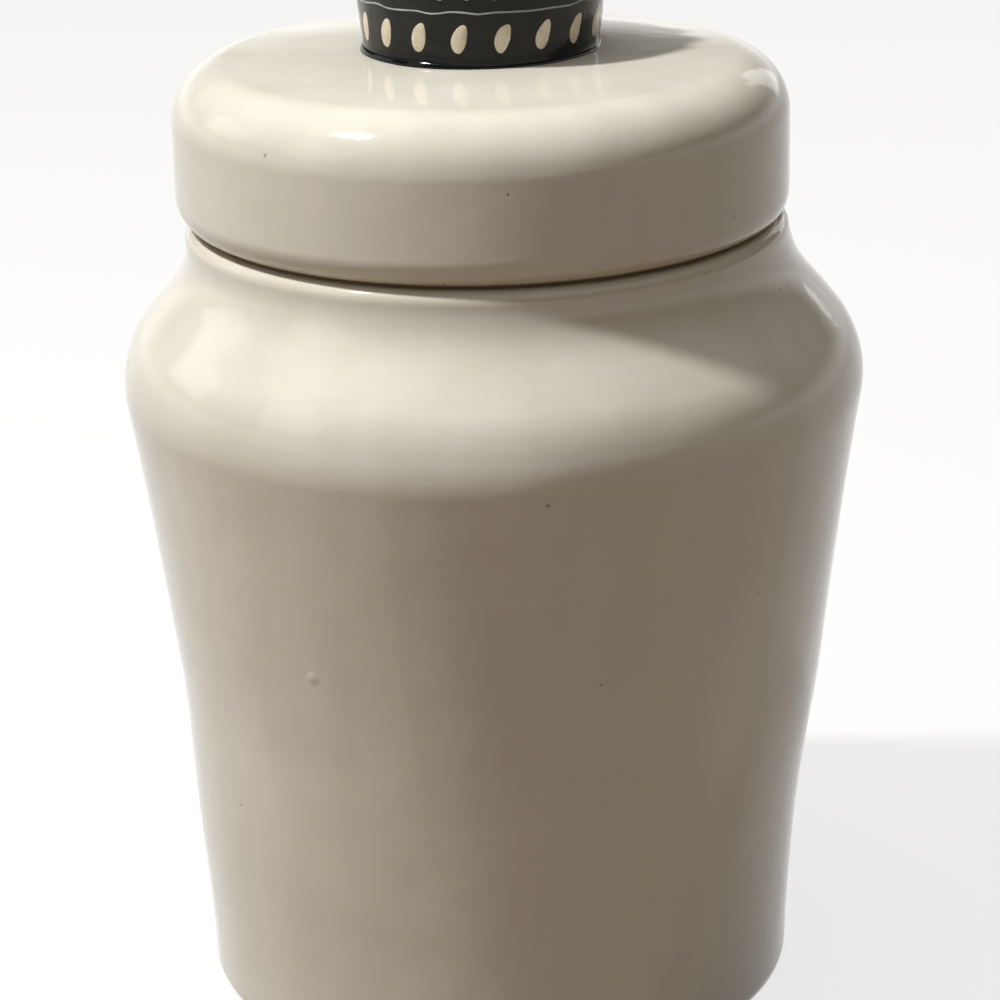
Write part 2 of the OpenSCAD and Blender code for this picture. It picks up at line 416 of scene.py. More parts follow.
# %% Seal silicone
def make_silicone():
    material, tree, shader = new_material("seal_silicone")
    drift = use(tree, DRIFT, Pale=(0.60, 0.60, 0.57), Deep=(0.52, 0.52, 0.49), Size=0.03)
    dust = use(tree, SPECKS, Spacing=0.004, Size=0.0005, Share=0.4)["Mask"]
    ripple = use(tree, RIPPLE, Wave=0.004, Pit=0.0006)["Height"]
    colour = layer(drift["Color"], dust, strength=0.35, tint=(0.40, 0.35, 0.28))
    feed(shader, colour, between(drift["Amount"], low=0.38, high=0.50))
    shader["Subsurface Weight"].default_value = 0.15
    shader["Subsurface Radius"].default_value = (0.002, 0.002, 0.0018)
    bump(shader, ripple, strength=0.4, distance=0.0003)
    return material


SEAL_SILICONE = make_silicone()
print("made material:", SEAL_SILICONE.name)

# %% [markdown]
# **The potter's wheel.** Jar, lid and seal are all turned: one outline goes round one axis. A Screw
# modifier or Spin could do that, but a Geometry Nodes tree does more in one place. It lays out a grid,
# reads one outline point for each row, carries the outline's numbers over as attributes and bends the grid
# round the axis. Then it adds hand work where the outline allows it: unevenness in patches, a sway to one
# side and a sinking that is deepest on one side. Merging the doubles closes the seam and the poles.

# %% Helpers for Geometry Nodes
def geo(where, kind, fill=None, **settings):
    """The first output of a Geometry Nodes node."""
    return put(where, "GeometryNode" + kind, fill, **settings).outputs[0]


def here(where):
    return geo(where, "InputPosition")


def read(where, name):
    """A number that is stored on the points."""
    return geo(where, "InputNamedAttribute", {"Name": name})


def store(geometry, name, value):
    return geo(geometry, "StoreNamedAttribute", {"Geometry": geometry, "Name": name, "Value": value})


def move(geometry, **where):
    """Points set to a Position or moved by an Offset."""
    return geo(geometry, "SetPosition", {"Geometry": geometry, **where})


def realize(geometry):
    return geo(geometry, "RealizeInstances", {0: geometry})


def deliver(geometry, material, socket):
    """The end of each tree: smooth faces, no instances left, and a material."""
    smooth = geo(geometry, "SetShadeSmooth", {"Geometry": geometry})
    link(geo(smooth, "SetMaterial", {"Geometry": realize(smooth), "Material": material}), socket)


print("geometry helpers ready")

# %% Geometry Nodes: the wheel
TURN_STEPS = 180
CARRIED = ("bare", "thin")
SAME_PLACE = 1e-6
NOISE_MIDDLE = 0.5


def make_wheel():
    tree, given, result = new_tree("potters wheel", "Geometry",
        {"Outline": "Geometry", "Points": "Int", "Steps": "Int", "Unevenness": "Float", "Patch": "Float",
         "Sink Way": "Vector", "Seed": "Int", "Glaze": "Material"}, {"Piece": "Geometry"})
    rows = calc("SUBTRACT", given["Points"], 1)
    turned = geo(tree, "MeshGrid", {"Size X": rows, "Size Y": 1.0, "Vertices X": given["Points"],
        "Vertices Y": calc("ADD", given["Steps"], 1)})
    spot = split(here(tree))
    row = calc("ROUND", calc("ADD", spot[0], calc("DIVIDE", rows, 2)))
    angle = times(spot[1], math.tau)

    def from_outline(field, data_type="FLOAT"):
        return geo(tree, "SampleIndex", {"Geometry": given["Outline"], "Value": field, "Index": row},
            data_type=data_type)

    for name in CARRIED:
        turned = store(turned, name, from_outline(read(tree, name)))
    free, sway, sink = (from_outline(read(tree, name)) for name in ("free", "sway", "sink"))
    point = split(from_outline(here(tree), "FLOAT_VECTOR"))
    around = xyz(calc("COSINE", angle), calc("SINE", angle))
    even = vec("MULTIPLY_ADD", around, point[0], xyz(z=point[2]))
    patches = clouds(even, per(given["Patch"]), detail=1.0, seed=given["Seed"])[0]
    swell = times(calc("SUBTRACT", patches, NOISE_MIDDLE),
        times(given["Unevenness"], free))
    swollen = vec("MULTIPLY_ADD", around, swell, even)
    swayed = vec("ADD", swollen, xyz(x=sway))
    facing = calc("MAXIMUM", vec("DOT_PRODUCT", around, given["Sink Way"]), 0.0)
    sunk = times(calc("POWER", facing, 2.0), sink)
    settled = vec("SUBTRACT", swayed, xyz(z=sunk))
    moved = move(turned, Position=settled)
    closed = geo(tree, "MergeByDistance", {"Geometry": moved, "Distance": SAME_PLACE})
    deliver(closed, given["Glaze"], result["Piece"])
    return tree


WHEEL = make_wheel()
print("made tree:", WHEEL.name, len(WHEEL.nodes), "nodes")

# %% From a tree to a plain mesh
SHARP_ANGLE = math.radians(40)


def grow(name, tree, values, start=None):
    """Runs a tree on a start mesh and keeps what it makes as a plain, closed mesh object."""
    piece = new_object(name, start or bpy.data.meshes.new(name))
    modifier = piece.modifiers.new("shape", "NODES")
    modifier.node_group = tree
    for socket in tree.interface.items_tree:
        if socket.in_out == "INPUT" and socket.name in values:
            modifier[socket.identifier] = values[socket.name]
    depsgraph = bpy.context.evaluated_depsgraph_get()
    mesh = bpy.data.meshes.new_from_object(
        piece.evaluated_get(depsgraph), preserve_all_data_layers=True, depsgraph=depsgraph)
    piece.modifiers.remove(modifier)
    piece.data = mesh
    face_outwards(mesh)
    return piece


def face_outwards(mesh):
    """Turns all faces of a closed mesh outwards, keeps its sharp edges sharp and drops loose points."""
    edit = bmesh.new()
    edit.from_mesh(mesh)
    bmesh.ops.delete(edit, geom=[v for v in edit.verts if not v.link_faces], context="VERTS")
    bmesh.ops.recalc_face_normals(edit, faces=edit.faces)
    edit.to_mesh(mesh)
    edit.free()
    mesh.set_sharp_from_angle(angle=SHARP_ANGLE)


def tell(piece):
    """Prints a piece's triangles, its size in millimetres and its open edges."""
    mesh = piece.data
    mesh.calc_loop_triangles()
    used = np.empty(len(mesh.loops), int)
    mesh.loops.foreach_get("edge_index", used)
    open_edges = np.count_nonzero(np.bincount(used, minlength=len(mesh.edges)) != 2)
    size = [round(x / MM, 1) for x in piece.dimensions]
    print(f"{piece.name}: {len(mesh.loop_triangles)} triangles, {size} mm, {open_edges} open edges")


print("mesh helpers ready")

# %% [markdown]
# **Outlines.** An outline is a line of points, radius and height, made of arcs, straight runs and Bezier
# curves as a draughtsman would draw it. Each point also says whether the clay is bare there, how much glaze
# has drawn back, which follows from how sharply the outline turns, and how far unevenness, sway and sinking
# move it.

# %% Outline helpers
CURVE_STEPS = 40
ROUND_STEPS = 10
SHARP_ROUND = 3 * MM
SHORTEST_STEP = 0.2 * MM
LEAST_BEND = 0.2
PATCH = 70 * MM


def arc(centre, wide, start, end, steps=ROUND_STEPS, high=None):
    """An arc of a circle, or of an ellipse if its height is given too."""
    a = np.radians(np.linspace(start, end, steps + 1))
    return np.column_stack((centre[0] + wide * np.cos(a), centre[1] + (high or wide) * np.sin(a)))


def curve(a, b, c, d, steps=CURVE_STEPS):
    """A Bezier curve from a to d, pulled by b and c."""
    t = np.linspace(0, 1, steps + 1)[:, None]
    a, b, c, d = (np.asarray(p, float) for p in (a, b, c, d))
    return (1 - t) ** 3 * a + 3 * (1 - t) ** 2 * t * b + 3 * (1 - t) * t ** 2 * c + t ** 3 * d


def run(*points, step=3 * MM):
    """Straight stretches between points, divided into steps."""
    parts = [np.asarray(points[:1], float)]
    for a, b in zip(points, points[1:]):
        count = max(1, round(math.dist(a, b) / step))
        parts.append(np.linspace(a, b, count + 1)[1:])
    return np.vstack(parts)


def smooth_step(x, low, high):
    t = np.clip((x - low) / (high - low), 0, 1)
    return t * t * (3 - 2 * t)


def thinning(points):
    """1 where an outline turns outwards as sharply as a small rounding, 0 where it runs on."""
    before = np.diff(points, axis=0, prepend=points[:1])
    after = np.diff(points, axis=0, append=points[-1:])
    cross = before[:, 0] * after[:, 1] - before[:, 1] * after[:, 0]
    dot = (before * after).sum(1)
    length = (np.linalg.norm(before, axis=1) + np.linalg.norm(after, axis=1)) / 2
    bend = np.arctan2(cross, dot) / np.maximum(length, SHORTEST_STEP)
    return smooth_step(bend * SHARP_ROUND, LEAST_BEND, 1.0)


def nowhere(r, z):
    return np.zeros_like(r)


def outline(name, stretches, free=nowhere, sway=nowhere, sink=nowhere):
    """A mesh line through stretches of (points, bare), with the numbers that the wheel reads."""
    points = np.vstack([p for p, _ in stretches])
    bare = np.concatenate([np.full(len(p), float(b)) for p, b in stretches])
    keep = np.append(True, np.linalg.norm(np.diff(points, axis=0), axis=1) > SAME_PLACE)
    points, bare = points[keep], bare[keep]
    mesh = bpy.data.meshes.new(name)
    mesh.from_pydata([(r, 0, z) for r, z in points], [(i, i + 1) for i in range(len(points) - 1)], [])
    r, z = points.T
    numbers = {"bare": bare, "thin": thinning(points), "free": free(r, z), "sway": sway(r, z),
        "sink": sink(r, z)}
    for key, values in numbers.items():
        mesh.attributes.new(key, "FLOAT", "POINT").data.foreach_set("value", values)
    return mesh


def turn_piece(name, line, glaze, seed, unevenness=0.0, sink_way=(0, 1, 0)):
    return grow(name, WHEEL, {"Points": len(line.vertices), "Steps": TURN_STEPS, "Unevenness": unevenness,
        "Patch": PATCH, "Sink Way": sink_way, "Seed": seed, "Glaze": glaze}, line)


print("outline helpers ready")

# %% [markdown]
# **The jar.** It is slip-cast: a shell of even thickness with a round shoulder, a wall that tapers to the
# foot, a hollow under the base and a rounded rim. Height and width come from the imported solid, the other
# sizes are those that the solid was drawn with. The shoulder leans about a millimetre to one side and the
# lower wall a little to the other, as pots do that sag in the kiln.

# %% Jar sizes
jar_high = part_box("jar_body")[1]
RIM_Z = jar_high.z
SHOULDER_R = jar_high.x
NECK_R = 72.8 * MM
NECK_WALL = 7 * MM
MOUTH_R = NECK_R - NECK_WALL
FOOT_R = 73.8 * MM
JAR_WALL = 6.5 * MM
SHOULDER_ROUND = 24 * MM
SHOULDER_Z = RIM_Z - 39 * MM
WALL_LEAN = 9
SHOULDER_TURN = 38
FOOT_LEAN = 1
RIM_ROUND = 3 * MM
print("rim at", round(RIM_Z, 4), "shoulder radius", round(SHOULDER_R, 4))

# %% Jar wall
def along(angle, length):
    """A step of that length, leaning outwards by an angle from upright."""
    return length * np.array((math.sin(math.radians(angle)), math.cos(math.radians(angle))))


def jar_side(foot, neck, depth):
    """The wall from foot to neck, at a depth in from its outer face."""
    foot_pull, wall_pull, throat_pull, neck_pull = 28 * MM, 50 * MM, 10 * MM, 9 * MM
    centre = (SHOULDER_R - SHOULDER_ROUND, SHOULDER_Z)
    shoulder = arc(centre, SHOULDER_ROUND - depth, -WALL_LEAN, SHOULDER_TURN, CURVE_STEPS)
    low, high = shoulder[0], shoulder[-1]
    foot, neck = np.array(foot), np.array(neck)
    wall = curve(foot, foot + along(FOOT_LEAN, foot_pull), low - along(WALL_LEAN, wall_pull), low)
    throat = curve(high, high + along(-SHOULDER_TURN, throat_pull), neck - (0, neck_pull), neck)
    return np.vstack((wall, shoulder, throat))


print("wall helpers ready")

# %% Jar's hand work
FOOT_STILL = 8 * MM
FOOT_FREE = 60 * MM
RIM_STILL = 6 * MM
RIM_FREE = 40 * MM
NECK_SHARE = 0.55
NECK_FADE = 8 * MM
LOW_SWAY = -0.6 * MM
LOW_SWAY_Z = 3 * MM
HIGH_SWAY = 1.75 * MM
HIGH_SWAY_FROM = 40 * MM
HIGH_SWAY_TO = 84 * MM


def jar_free(r, z):
    """Hand work fades out towards foot and rim, and moves only the outside of the neck."""
    neck = NECK_SHARE * smooth_step(r, NECK_R - RIM_ROUND, NECK_R) * smooth_step(RIM_Z - z, 0, NECK_FADE)
    below = smooth_step(RIM_Z - z, RIM_STILL, RIM_FREE)
    return smooth_step(z, FOOT_STILL, FOOT_FREE) * np.maximum(below, neck)


def jar_sway(r, z):
    """The lower wall sways one way, and the shoulder the other."""
    low = LOW_SWAY * smooth_step(z, 0, LOW_SWAY_Z)
    high = HIGH_SWAY * smooth_step(z, HIGH_SWAY_FROM, HIGH_SWAY_TO)
    return (low + high) * jar_free(r, np.maximum(z, FOOT_FREE))


print("shoulder sways by", round((LOW_SWAY + HIGH_SWAY) / MM, 2), "mm")

# %% Jar
def make_jar():
    mouth_round, foot_round, floor_round = 1.5 * MM, 4 * MM, 10 * MM
    recess, floor_z, ring, bevel, land = 3 * MM, 10 * MM, 7 * MM, 2 * MM, 10 * MM
    ring_in = FOOT_R - foot_round - ring
    in_foot = FOOT_R - JAR_WALL
    stretches = [
        (run((0, recess), (ring_in - bevel, recess)), 0),
        (run((ring_in - bevel, recess), (ring_in, 0), (FOOT_R - foot_round, 0), step=1 * MM), 1),
        (arc((FOOT_R - foot_round, foot_round), foot_round, -80, 0), 0),
        (jar_side((FOOT_R, foot_round), (NECK_R, RIM_Z - RIM_ROUND), 0), 0),
        (arc((NECK_R - RIM_ROUND, RIM_Z - RIM_ROUND), RIM_ROUND, 0, 90), 0),
        (run((NECK_R - RIM_ROUND - MM, RIM_Z), (MOUTH_R + mouth_round + MM, RIM_Z), step=0.5 * MM), 1),
        (arc((MOUTH_R + mouth_round, RIM_Z - mouth_round), mouth_round, 90, 180), 0),
        (jar_side((in_foot, floor_z + floor_round), (MOUTH_R, RIM_Z - land), JAR_WALL)[::-1], 0),
        (arc((in_foot - floor_round, floor_z + floor_round), floor_round, 0, -90), 0),
        (run((in_foot - floor_round, floor_z), (0, floor_z)), 0)]
    line = outline("jar", stretches, jar_free, jar_sway)
    return turn_piece("jar", line, CREAM_GLAZE, seed=3, unevenness=0.9 * MM)


jar = make_jar()
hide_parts("jar_body")
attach(jar, "jar")
tell(jar)

# %% [markdown]
# **The lid.** It is cast hollow, with a wide rounding along its top, a smaller one under its edge, and a
# spigot that hangs into the mouth. It rests on the rim by a bare seat. Outside that seat its edge stands
# off the rim, which shows as a dark slit, and its top has sunk a little towards the back. A hole lets air
# out under the hollow knob in the kiln.

# %% Lid sizes
lid_low, lid_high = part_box("lid")
LID_R = lid_high.x
SEAT_Z = lid_high.z
LID_WALL = 6 * MM
LID_DOME = 730 * MM
LID_TOP_ROUND = 14 * MM
SEAT_R = 30 * MM
SPIGOT_PLAY = 3.2 * MM
SPIGOT_WALL = 5.5 * MM
SPIGOT_R = MOUTH_R - SPIGOT_PLAY
SPIGOT_IN_R = SPIGOT_R - SPIGOT_WALL
GROOVE_DEPTH = 2 * MM
GROOVE_R = SPIGOT_R - GROOVE_DEPTH
GROOVE_TOP = RIM_Z - 3 * MM
GROOVE_HIGH = 6.16 * MM
print("lid radius", round(LID_R, 4), "spigot radius", round(SPIGOT_R, 4))

# %% Lid's hand work
EDGE_STILL = RIM_Z + 0.5 * MM
EDGE_FREE = RIM_Z + 7 * MM
SINK_START = RIM_Z + 4 * MM
TOP_FADE = 20 * MM
LID_SWAY = -0.65 * MM
LID_SINK = 2.0 * MM
SINK_BACK = math.radians(75)


def lid_free(r, z):
    return smooth_step(z, EDGE_STILL, EDGE_FREE) * smooth_step(r, SEAT_R, SEAT_R + TOP_FADE)


def lid_sway(r, z):
    return LID_SWAY * lid_free(r, z)


def lid_sink(r, z):
    return LID_SINK * smooth_step(z, SINK_START, SEAT_Z) * smooth_step(r, SEAT_R, LID_R)


print("lid sinks by", LID_SINK / MM, "mm at the back")

# %% Lid
def make_lid():
    vent_r, pocket, edge = 2 * MM, 3 * MM, 1.83 * MM
    under_wide, under_high = 4.7 * MM, 7.5 * MM
    rest_r, slit = 68 * MM, 0.9 * MM
    dome_z = SEAT_Z - math.sqrt(LID_DOME ** 2 - SEAT_R ** 2)
    corner_r = LID_R - LID_TOP_ROUND
    corner_z = dome_z + math.sqrt((LID_DOME - LID_TOP_ROUND) ** 2 - corner_r ** 2)
    corner = math.degrees(math.atan2(corner_z - dome_z, corner_r))
    seat = math.degrees(math.atan2(SEAT_Z - dome_z, SEAT_R))
    wall_r, low_z = LID_R - LID_WALL, lid_low.z
    hollow_top = dome_z + LID_DOME - LID_WALL
    in_round = LID_TOP_ROUND - LID_WALL
    in_corner = (corner_r + in_round * math.cos(math.radians(corner)),
        corner_z + in_round * math.sin(math.radians(corner)))
    under = (LID_R - under_wide, RIM_Z + under_high)
    stretches = [
        (run((vent_r, hollow_top), in_corner), 0),
        (arc((corner_r, corner_z), in_round, corner, 0), 0),
        (arc((wall_r - pocket, RIM_Z + LID_WALL + pocket), pocket, 0, -90), 0),
        (arc((SPIGOT_IN_R + pocket, RIM_Z + LID_WALL - pocket), pocket, 90, 180), 0),
        (arc((SPIGOT_IN_R + edge, low_z + edge), edge, 180, 270), 0),
        (arc((SPIGOT_R - edge, low_z + edge), edge, -90, 0), 0),
        (run((SPIGOT_R, GROOVE_TOP - GROOVE_HIGH), (GROOVE_R, GROOVE_TOP - GROOVE_HIGH),
            (GROOVE_R, GROOVE_TOP), (SPIGOT_R, GROOVE_TOP), (SPIGOT_R, RIM_Z), step=1 * MM), 1),
        (run((SPIGOT_R, RIM_Z), (rest_r, RIM_Z), (rest_r, RIM_Z + slit), step=1 * MM), 1),
        (arc(under, under_wide, -90, 0, 2 * ROUND_STEPS, high=under_high - slit), 0),
        (arc((corner_r, corner_z), LID_TOP_ROUND, 0, corner, CURVE_STEPS), 0),
        (arc((0, dome_z), LID_DOME, corner, seat, CURVE_STEPS), 0),
        (run((SEAT_R, SEAT_Z), (vent_r, SEAT_Z), (vent_r, hollow_top)), 0)]
    line = outline("lid", stretches, lid_free, lid_sway, lid_sink)
    return turn_piece("lid_shell", line, CREAM_GLAZE, seed=11, unevenness=0.7 * MM,
        sink_way=(math.cos(SINK_BACK), math.sin(SINK_BACK), 0))


lid = make_lid()
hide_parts("lid")
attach(lid, "lid")
tell(lid)

# %% [markdown]
# **The seal ring.** A band of soft silicone sits in the spigot's groove, and two thin ribs reach out to the
# mouth. It is turned on the same wheel from its own outline, and as it is moulded, it has no unevenness.

# %% Seal ring
seal_low, seal_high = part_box("lid_seal")
RIB_COUNT = 2


def make_seal():
    in_r, band_r, tip_r = GROOVE_R + 0.08 * MM, SPIGOT_R + 0.6 * MM, seal_high.x
    rib_root, rib_round, edge, step = 1.6 * MM, 0.4 * MM, 0.3 * MM, 1 * MM
    low, high = seal_low.z, seal_high.z
    parts = [run((in_r, low + edge), (in_r + edge, low), (band_r - edge, low), (band_r, low + edge),
        step=step)]
    for i in range(RIB_COUNT):
        z = low + (high - low) * (i + 0.5) / RIB_COUNT
        parts.append(run((band_r, z - rib_root / 2), (tip_r - rib_round, z - rib_round), step=step))
        parts.append(arc((tip_r - rib_round, z), rib_round, -80, 80))
        parts.append(run((tip_r - rib_round, z + rib_round), (band_r, z + rib_root / 2), step=step))
    parts.append(run((band_r, high - edge), (band_r - edge, high), (in_r + edge, high),
        (in_r, high - edge), (in_r, low + edge), step=step))
    line = outline("seal", [(part, 0) for part in parts])
    return turn_piece("seal_ring", line, SEAL_SILICONE, seed=5)


seal = make_seal()
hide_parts("lid_seal")
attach(seal, "seal")
tell(seal)

# %% [markdown]
# **The crown knob.** Its wall swells from a narrow foot to a belly and then closes in a ring of points. No
# modifier cuts the gaps here. The mesh is a fan of upright columns instead, and each column follows the
# wall's section: bead, outer face, a round lip, inner face, floor of the well. Only the height at which a
# column turns over its lip changes, and it follows the edge of the points, so every edge is round, as glaze
# leaves it.

# %% Knob sizes
knob_low, knob_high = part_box("crown_knob")
BELLY_R = knob_high.x
KNOB_HIGH = knob_high.z - knob_low.z
KNOB_FOOT_R = 28 * MM
BELLY_Z = 22 * MM
TIP_R = 22.5 * MM
TIP_LEAN = 22
POINT_COUNT = 12
POINT_THICK = 4 * MM
GAP_Z = 31 * MM
KNOB_WALL = 5 * MM
WELL_Z = 28 * MM
LIP = POINT_THICK / 2
FOOT_HANDLE = (0.6 * MM, 12 * MM)
BELLY_HANDLE = (0, 6 * MM)
TIP_HANDLE = 6.5 * MM

tip = np.array((TIP_R, KNOB_HIGH - LIP * (1 - math.sin(math.radians(TIP_LEAN)))))
knob_foot, belly = np.array((KNOB_FOOT_R, 0)), np.array((BELLY_R, BELLY_Z))
lower_wall = curve(knob_foot, knob_foot + FOOT_HANDLE, belly - BELLY_HANDLE, belly)
upper_wall = curve(belly, belly + BELLY_HANDLE, tip + along(TIP_LEAN, TIP_HANDLE) * (1, -1), tip)
outer_wall = np.vstack((lower_wall, upper_wall[1:]))
print("knob height", round(KNOB_HIGH / MM, 1), "mm, belly radius", round(BELLY_R / MM, 1), "mm")

# %% Knob section
def beside(line, depth):
    """A line moved in towards the axis by a depth."""
    way = np.gradient(line, axis=0)
    return line + depth * np.column_stack((-way[:, 1], way[:, 0])) / np.linalg.norm(way, axis=1)[:, None]


outer_lean = np.arctan2(-np.gradient(outer_wall[:, 0]), np.gradient(outer_wall[:, 1]))
inner_wall = beside(upper_wall, POINT_THICK)
hollow_wall = beside(lower_wall, KNOB_WALL)


def outer_r(z):
    return np.interp(z, outer_wall[:, 1], outer_wall[:, 0])


def lean_at(z):
    return np.interp(z, outer_wall[:, 1], outer_lean)


def inner_r(z):
    return np.interp(z, inner_wall[:, 1], inner_wall[:, 0])


print("wall leans", np.degrees(lean_at(np.array((GAP_Z, tip[1])))).round(1), "degrees at gap and tip")

# %% Edge of the points
GAP_ROUND = 1.6 * MM
TIP_ROUND = 2.6 * MM
HALF_PITCH = TIP_R * math.tan(math.pi / POINT_COUNT)
POINT_SHRINK = 0.05


def half_point():
    """The edge from the middle of a gap to the middle of a point: sideways place and height."""
    side_z = GAP_Z + GAP_ROUND
    side, crown = np.array((GAP_ROUND, side_z)), np.array((HALF_PITCH, KNOB_HIGH - TIP_ROUND))
    to_side = side - crown
    touch = math.atan2(to_side[1], to_side[0]) - math.acos(TIP_ROUND / np.linalg.norm(to_side))
    touch = math.degrees(touch) % 360
    gap = arc((0, side_z), GAP_ROUND, -90, 0, steps=6)
    round_tip = arc(crown, TIP_ROUND, touch, 90, steps=7)
    flank = run(side, round_tip[0], step=1.4 * MM)
    return np.vstack((gap, flank[1:], round_tip[1:]))


def crown_edge():
    """Angle and edge height of every column, with points that differ a little in height."""
    half = half_point()
    reach = np.arcsin(np.minimum(half[:, 0] / outer_r(half[:, 1]), 1))
    reach *= math.pi / POINT_COUNT / reach[-1]
    rng = np.random.default_rng(seed=7)
    angles, heights = [], []
    for i in range(POINT_COUNT):
        middle = (i + 0.5) * math.tau / POINT_COUNT
        shrink = 1 - rng.uniform(0, POINT_SHRINK)
        rise = GAP_Z + (half[:, 1] - GAP_Z) * shrink
        angles += [*(middle + reach), *(middle + math.tau / POINT_COUNT - reach[-2:0:-1])]
        heights += [*rise, *rise[-2:0:-1]]
    return np.array(angles), np.array(heights)


column_angle, column_edge = crown_edge()
print("knob columns:", len(column_angle))

# %% Knob section, column by column
BEAD_W = 0.6 * MM
BEAD_H = 1.1 * MM
BEAD_W_WAVE = 0.8
BEAD_H_WAVE = 0.5
BEAD_SWEEP = 75
BEAD_GAP = 0.4 * MM
# The foot's dark band: pooled glaze, and painted shade where the knob meets the lid.
POOL_AND_SHADE_Z = 2.2 * MM
POOL_AND_SHADE_WAVE = 1.0 * MM
POOL_AND_SHADE_SOFT = 0.6 * MM
BELOW_GAP = GAP_Z - 4 * MM
THIN_EDGE = 2 * MM
WELL_LEVEL = 6 * MM
WELL_RISE = 1.5 * MM


def waver(angle, seed):
    """A wave round the knob, from about -1 to 1, that never repeats evenly."""
    slow = 0.55 * np.cos(angle - 2.9 - seed)
    middle = 0.3 * np.cos(3 * angle + 0.7 + seed)
    quick = 0.2 * np.cos(7 * angle + 2.1)
    return slow + middle + quick


def spread(start, end, count):
    """count steps from start to end, one row a step, for all columns at once."""
    t = np.linspace(0, 1, count + 1)[:, None]
    return start + (end - start) * t


def knob_rows():
    """Rows of radius, height and the glaze's numbers, from the middle of the hollow to that of the well."""
    one = np.ones_like(column_angle)
    # Top of the foot's dark band, which is pooled glaze and painted shade in the crease against the lid.
    pool_and_shade_z = POOL_AND_SHADE_Z + POOL_AND_SHADE_WAVE * waver(column_angle, seed=1.3)
    rows = []

    def add(radius, height, thin=0.0, bare=0.0):
        pool_and_shade = 1 - smooth_step(height * one, pool_and_shade_z - POOL_AND_SHADE_SOFT, pool_and_shade_z + POOL_AND_SHADE_SOFT)
        rows.append((radius * one, height * one, thin * one, bare * one, pool_and_shade))

    hollow_z = WELL_Z - KNOB_WALL
    hollow = hollow_wall[(hollow_wall[:, 1] > MM) & (hollow_wall[:, 1] < hollow_z)][::-4]
    for r in np.linspace(0, hollow[0, 0] - KNOB_WALL, num=4):
        add(r, hollow_z, bare=1)
    for r, z in hollow:
        add(r, z, bare=1)
    add(KNOB_FOOT_R - KNOB_WALL, 0, bare=1)
    add(KNOB_FOOT_R, 0, bare=1)
    width = BEAD_W * (1 + BEAD_W_WAVE * waver(column_angle, seed=0))
    high = BEAD_H * (1 + BEAD_H_WAVE * waver(column_angle, seed=0.4))
    for a in np.radians(np.linspace(0, BEAD_SWEEP, num=9)):
        add(KNOB_FOOT_R + width * math.cos(a), high * math.sin(a))
    bead_top = high * math.sin(math.radians(BEAD_SWEEP)) + BEAD_GAP
    for z in spread(bead_top, BELOW_GAP, count=26):
        add(outer_r(z), z)
    lip_z = column_edge.copy()
    for _ in range(4):
        lip_z = column_edge - LIP * (1 - np.sin(lean_at(lip_z)))
    for z in spread(BELOW_GAP, lip_z, count=14)[1:]:
        add(outer_r(z), z, thin=smooth_step(z, lip_z - THIN_EDGE, lip_z))
    lean = lean_at(lip_z)
    lip_r, lip_mid = outer_r(lip_z) - LIP * np.cos(lean), lip_z - LIP * np.sin(lean)
    for a in np.linspace(0, math.pi, num=11)[1:]:
        add(lip_r + LIP * np.cos(lean + a), lip_mid + LIP * np.sin(lean + a), thin=1)
    in_z = lip_mid - LIP * np.sin(lean)
    for z in spread(in_z, WELL_Z, count=12)[1:]:
        add(inner_r(z), z)
    well_r = inner_r(WELL_Z)
    low = WELL_Z - MM
    level = curve((well_r, WELL_Z), (well_r, low), (well_r - WELL_LEVEL, low), (0, WELL_Z + WELL_RISE))
    for r, z in (*level[2:-1:3], level[-1]):
        add(r, z)
    return rows


print("knob rows:", len(knob_rows()))

# %% Knob mesh
def make_knob():
    rows = np.array(knob_rows())
    radius, height = rows[:, 0], rows[:, 1] + SEAT_Z
    places = np.stack((radius * np.cos(column_angle), radius * np.sin(column_angle), height), axis=2)
    row_count, column_count = radius.shape
    index = np.arange(row_count * column_count).reshape(row_count, column_count)
    index[0], index[-1] = index[0, 0], index[-1, 0]
    nxt = np.roll(index, -1, axis=1)
    faces = np.stack((index[:-1], nxt[:-1], nxt[1:], index[1:]), axis=2).reshape(-1, 4)
    faces = [tuple(dict.fromkeys(face)) for face in faces.tolist()]
    mesh = bpy.data.meshes.new("knob")
    mesh.from_pydata(places.reshape(-1, 3).tolist(), [], faces)
    for i, name in enumerate(("thin", "bare", "pool_and_shade"), start=2):
        mesh.attributes.new(name, "FLOAT", "POINT").data.foreach_set("value", rows[:, i].ravel())
    face_outwards(mesh)
    mesh.polygons.foreach_set("use_smooth", [True] * len(mesh.polygons))
    mesh.materials.append(BLACK_GLAZE)
    return new_object("knob", mesh)


knob = make_knob()
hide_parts("crown_knob")
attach(knob, "lid")
tell(knob)

# %% [markdown]
# **Painted marks on the knob.** Plain brushwork in cream and pale slip: rows of slanted dabs and dots, with
# thin lines between them, and one stroke up each point. A row of marks on a curved wall is work for
# Geometry Nodes: points in a ring, one flat mark on each, and then a ray from every vertex, which lays the
# mark on the wall. A mark's own height is kept as an attribute, so the slip stands out a little in its
# middle and sinks in at its edge.

# %% Helpers for marks
def shaky(amount, size, seed):
    """A small seeded offset, different from place to place, as from an unsteady hand."""
    colour = clouds(here(amount), 1 / size, detail=0.0, seed=seed)["Color"]
    return vec("MULTIPLY", vec("SUBTRACT", colour, (NOISE_MIDDLE,) * 3), amount)


